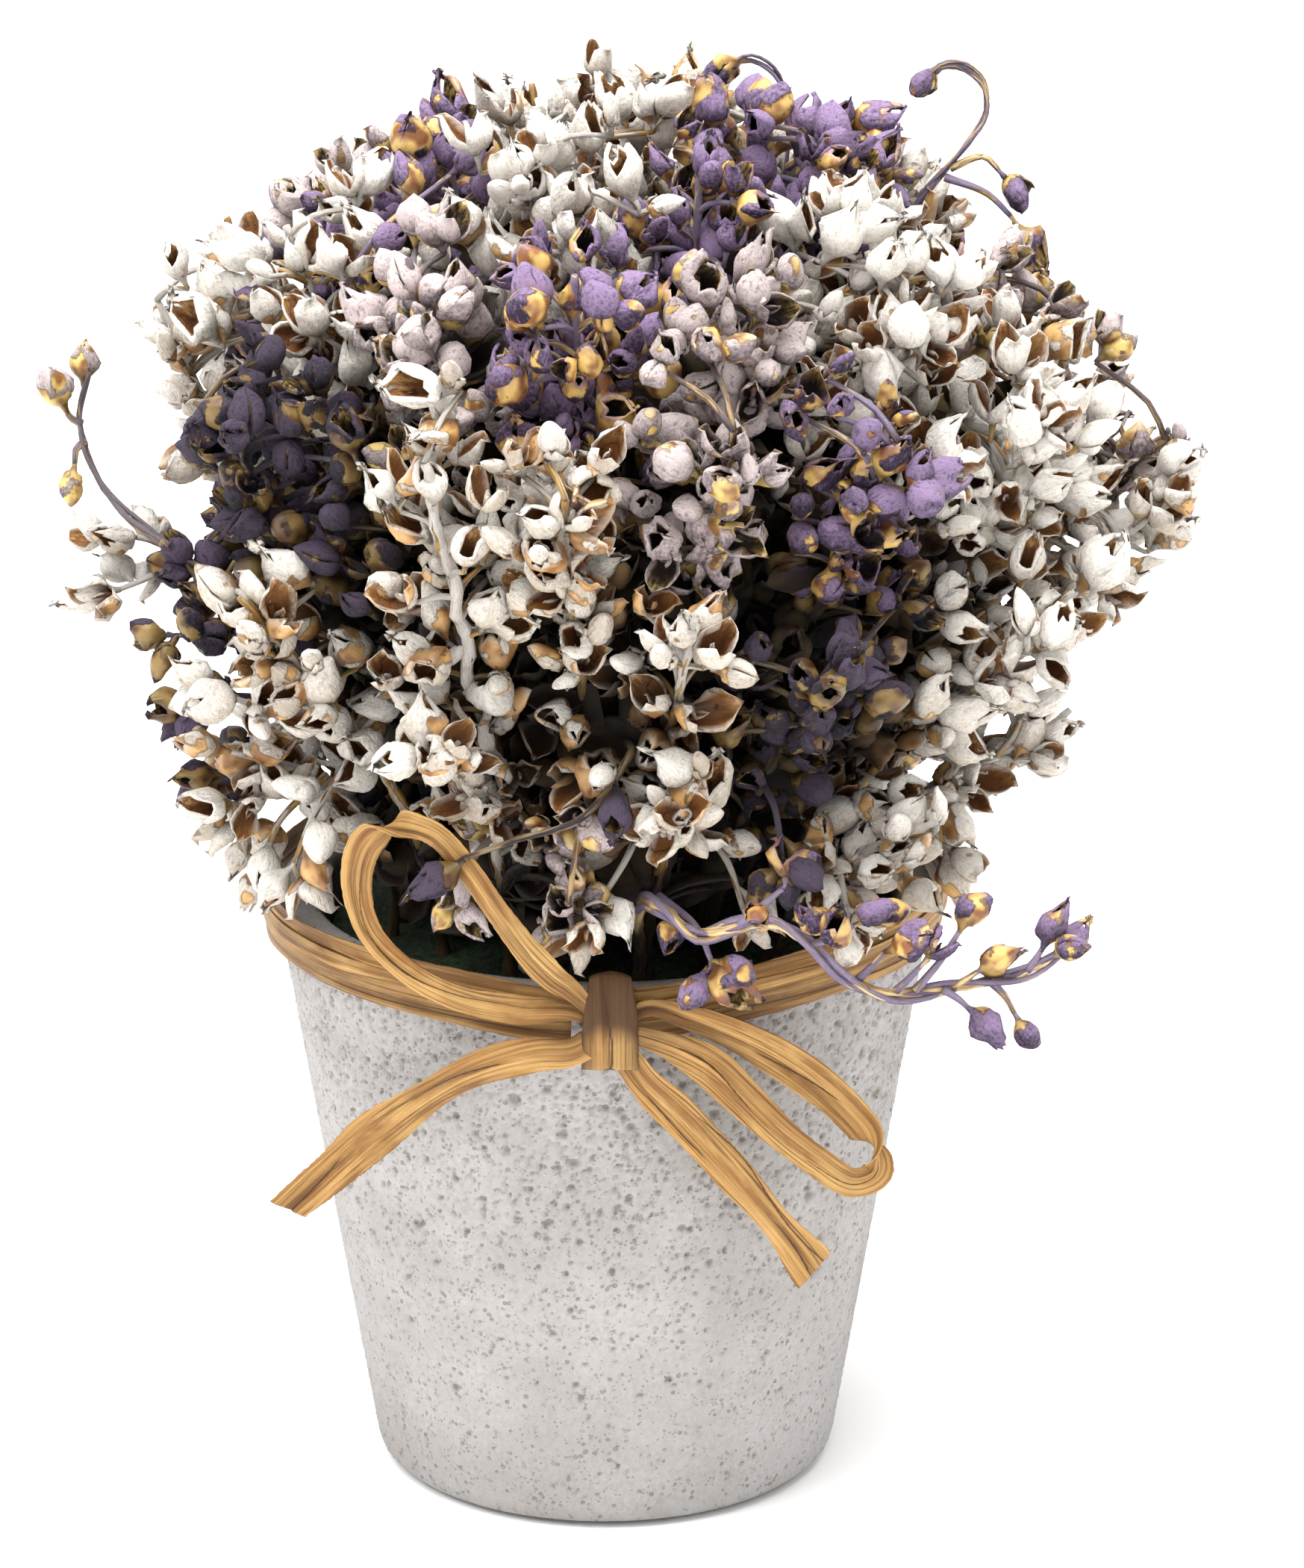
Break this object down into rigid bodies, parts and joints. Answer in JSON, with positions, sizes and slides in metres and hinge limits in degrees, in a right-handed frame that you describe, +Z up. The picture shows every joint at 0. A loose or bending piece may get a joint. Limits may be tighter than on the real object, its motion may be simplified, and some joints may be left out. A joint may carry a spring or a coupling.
{
  "type": "dried flowers in a pot",
  "caption": "Ball of white and purple painted dried seed sprigs held in foam in a small tapered porous white pot, with a raffia bow tied round the rim.",
  "frame": {"origin": "centre of the pot's flat underside", "axes": "+Z up along the pot's axis, -Y towards the front, where the bow is tied, +X to the right seen from the front"},
  "size_m": [0.13, 0.1132, 0.1619],
  "materials": {
    "porous_cement": "matte",
    "floral_foam": "matte",
    "raffia": "satin",
    "white_painted_husk": "matte",
    "purple_painted_husk": "matte",
    "grey_painted_husk": "matte"
  },
  "bodies": {
    "root": {"floral_foam": "floral_foam", "grey_sprig_01": "grey_painted_husk", "grey_sprig_02": "grey_painted_husk", "grey_sprig_03": "grey_painted_husk", "grey_sprig_04": "grey_painted_husk", "grey_sprig_05": "grey_painted_husk", "grey_sprig_06": "grey_painted_husk", "grey_sprig_07": "grey_painted_husk", "grey_sprig_08": "grey_painted_husk", "grey_sprig_09": "grey_painted_husk", "grey_sprig_10": "grey_painted_husk", "pot": "porous_cement", "purple_sprig_01": "purple_painted_husk", "purple_sprig_02": "purple_painted_husk", "purple_sprig_03": "purple_painted_husk", "purple_sprig_04": "purple_painted_husk", "purple_sprig_05": "purple_painted_husk", "purple_sprig_06": "purple_painted_husk", "purple_sprig_07": "purple_painted_husk", "purple_sprig_08": "purple_painted_husk", "purple_sprig_09": "purple_painted_husk", "purple_sprig_10": "purple_painted_husk", "purple_sprig_11": "purple_painted_husk", "purple_sprig_12": "purple_painted_husk", "purple_sprig_13": "purple_painted_husk", "purple_sprig_14": "purple_painted_husk", "purple_sprig_15": "purple_painted_husk", "purple_sprig_16": "purple_painted_husk", "raffia_band": "raffia", "raffia_knot": "raffia", "raffia_loop_left": "raffia", "raffia_loop_right": "raffia", "raffia_tail_left": "raffia", "raffia_tail_right": "raffia", "white_sprig_01": "white_painted_husk", "white_sprig_02": "white_painted_husk", "white_sprig_03": "white_painted_husk", "white_sprig_04": "white_painted_husk", "white_sprig_05": "white_painted_husk", "white_sprig_06": "white_painted_husk", "white_sprig_07": "white_painted_husk", "white_sprig_08": "white_painted_husk", "white_sprig_09": "white_painted_husk", "white_sprig_10": "white_painted_husk", "white_sprig_11": "white_painted_husk", "white_sprig_12": "white_painted_husk", "white_sprig_13": "white_painted_husk", "white_sprig_14": "white_painted_husk", "white_sprig_15": "white_painted_husk", "white_sprig_16": "white_painted_husk", "white_sprig_17": "white_painted_husk", "white_sprig_18": "white_painted_husk", "white_sprig_19": "white_painted_husk", "white_sprig_20": "white_painted_husk", "white_sprig_21": "white_painted_husk", "white_sprig_22": "white_painted_husk", "white_sprig_23": "white_painted_husk", "white_sprig_24": "white_painted_husk", "white_sprig_25": "white_painted_husk", "white_sprig_26": "white_painted_husk"}
  },
  "joints": []
}
